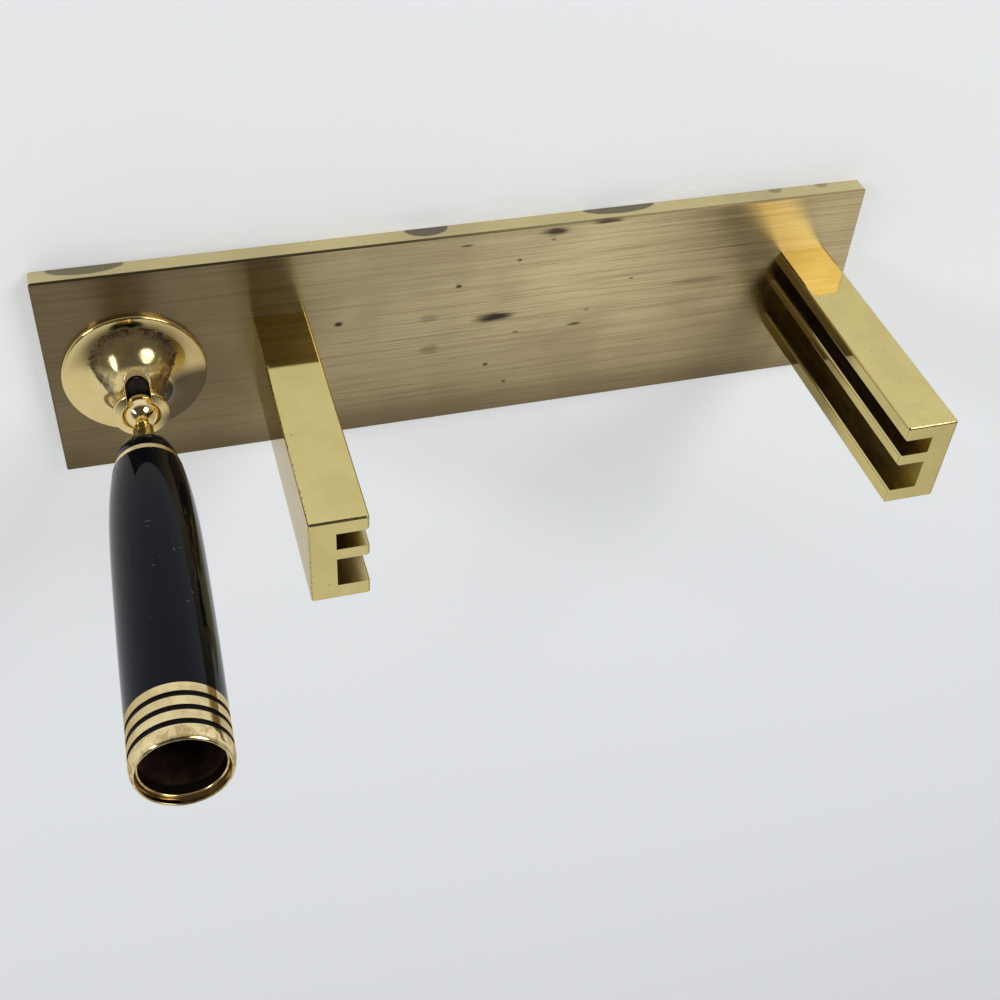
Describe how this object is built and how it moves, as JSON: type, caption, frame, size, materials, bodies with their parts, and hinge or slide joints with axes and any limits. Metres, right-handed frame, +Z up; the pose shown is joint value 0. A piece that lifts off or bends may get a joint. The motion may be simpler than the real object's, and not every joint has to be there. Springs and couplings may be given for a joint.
{
  "type": "pen and card holder",
  "caption": "Brass desk set: a flat brushed plate with slotted uprights facing each other for cards, and a black tapered pen socket that tilts on a ball in a flared bell.",
  "frame": {"origin": "middle of the felt's underside, on the surface that the set stands on", "axes": "+Z up, +X along the plate towards the pen socket, -Y towards the user, on the side of the bell's slot"},
  "size_m": [0.1396, 0.0382, 0.0881],
  "materials": {
    "brushed_brass": "satin, brushed lengthwise",
    "polished_brass": "mirror polished",
    "gilt_bell": "polished, lightly tarnished",
    "gilt_ball": "polished",
    "gilt_trim": "polished, worn",
    "screw_brass": "turned",
    "spring_steel": "drawn wire",
    "dark_pad": "matt",
    "black_gloss": "high gloss",
    "black_enamel": "satin enamel",
    "brown_liner": "matt, dark brown",
    "green_felt": "felt"
  },
  "bodies": {
    "base": {"base_plate": "brushed_brass", "felt_pad": "green_felt", "left_post": "polished_brass", "right_post": "polished_brass", "left_screw_front": "screw_brass", "left_screw_rear": "screw_brass", "right_screw_front": "screw_brass", "right_screw_rear": "screw_brass", "swivel_bell": "gilt_bell", "friction_pad": "dark_pad", "tension_spring": "spring_steel", "spring_plug": "screw_brass", "swivel_screw": "screw_brass"},
    "stud": {"ball_stud": "gilt_ball"},
    "socket": {"end_cap": "black_gloss", "end_ring": "gilt_trim", "barrel": "black_gloss", "stud_nut": "screw_brass", "liner": "brown_liner", "mouth_sleeve": "gilt_trim", "groove_inlay_1": "black_enamel", "groove_inlay_2": "black_enamel", "groove_inlay_3": "black_enamel"}
  },
  "joints": [
    {"name": "socket_tilt", "type": "hinge", "parent": "base", "child": "stud", "pos_m": [0.05645, 0, 0.01375], "axis": [1, 0, 0], "range_deg": [-50, 84]},
    {"name": "socket_spin", "type": "hinge", "parent": "stud", "child": "socket", "pos_m": [0.05645, 0, 0.01375], "axis": [0.0252, -0.0924, 0.9954], "continuous": true}
  ]
}
